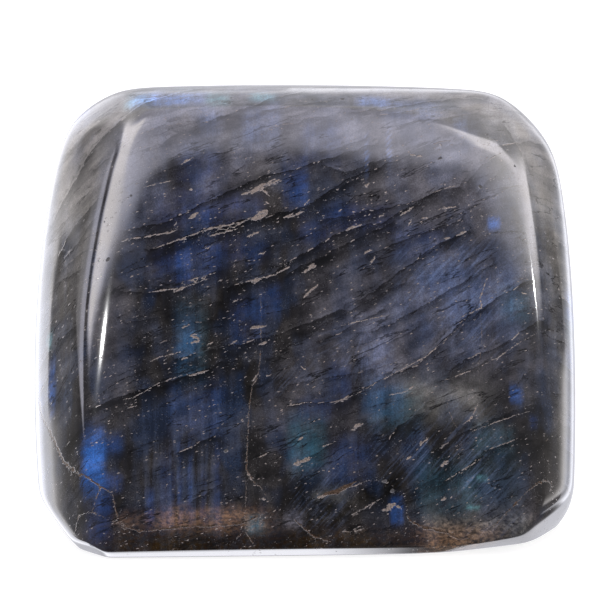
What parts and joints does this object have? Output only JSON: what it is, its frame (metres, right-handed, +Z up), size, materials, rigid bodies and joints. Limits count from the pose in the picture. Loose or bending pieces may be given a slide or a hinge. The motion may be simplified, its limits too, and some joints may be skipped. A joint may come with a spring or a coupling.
{
  "type": "polished stone",
  "caption": "Palm-sized block of polished feldspar with rounded corners, a broad front face leaning back inside a narrow bevelled edge, and a flat sole to stand on.",
  "frame": {"origin": "on the flat sole, under the middle of the stone's box", "axes": "+X across the front face to a viewer's right, -Y out of the front face towards the viewer, +Z up from the sole"},
  "size_m": [0.1104, 0.0508, 0.092],
  "materials": {
    "stone": "polished, near black with blue flashes"
  },
  "bodies": {
    "root": {"stone": "stone"}
  },
  "joints": []
}
